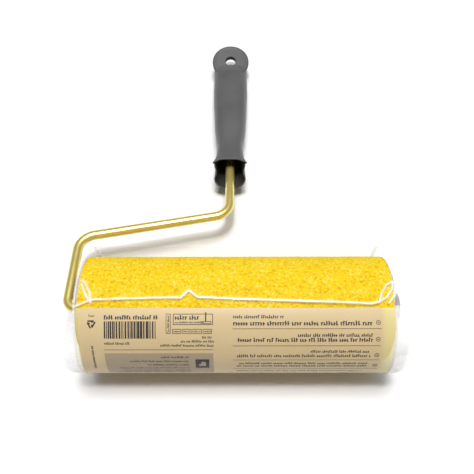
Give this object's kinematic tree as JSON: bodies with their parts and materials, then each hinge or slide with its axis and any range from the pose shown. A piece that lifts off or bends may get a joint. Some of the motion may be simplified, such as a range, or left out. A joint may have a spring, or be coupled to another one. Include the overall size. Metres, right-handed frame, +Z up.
{
  "type": "paint roller",
  "caption": "Paint roller with a bent wire frame, a moulded handle with a hanging hole, and a foam cover in its clear printed film sleeve.",
  "frame": {"origin": "on the floor, under the middle of the foam cover's axle", "axes": "+X along the axle from the side arm to the free end, +Y from the cover towards the handle, +Z up"},
  "size_m": [0.2068, 0.2794, 0.0651],
  "materials": {
    "foam": "coarse open yellow foam",
    "core": "plain extruded tube",
    "cap_plastic": "moulded dark grey",
    "bush_plastic": "natural acetal",
    "plated_wire": "yellow zinc plating, smooth and bright",
    "spring_steel": "bright pressed",
    "grip_plastic": "moulded mid grey, fine satin grain",
    "socket_plastic": "moulded near black",
    "print": "printed cream band",
    "film": "thin clear crinkled film"
  },
  "bodies": {
    "frame": {"frame_wire": "plated_wire", "stop_washer": "spring_steel", "arm_thrust_washer": "bush_plastic", "free_thrust_washer": "bush_plastic", "push_nut": "spring_steel", "axle_cap": "cap_plastic", "grip": "grip_plastic", "hanger_cap": "grip_plastic", "stem_socket": "socket_plastic", "printed_band": "print", "film_sleeve": "film"},
    "cover": {"foam_sleeve": "foam", "core_tube": "core", "arm_end_cap": "cap_plastic", "free_end_cap": "cap_plastic", "arm_bush": "bush_plastic", "free_bush": "bush_plastic"}
  },
  "joints": [
    {"name": "cover_spin", "type": "hinge", "parent": "frame", "child": "cover", "pos_m": [0, 0, 0.0324], "axis": [1, 0, 0], "continuous": true}
  ]
}
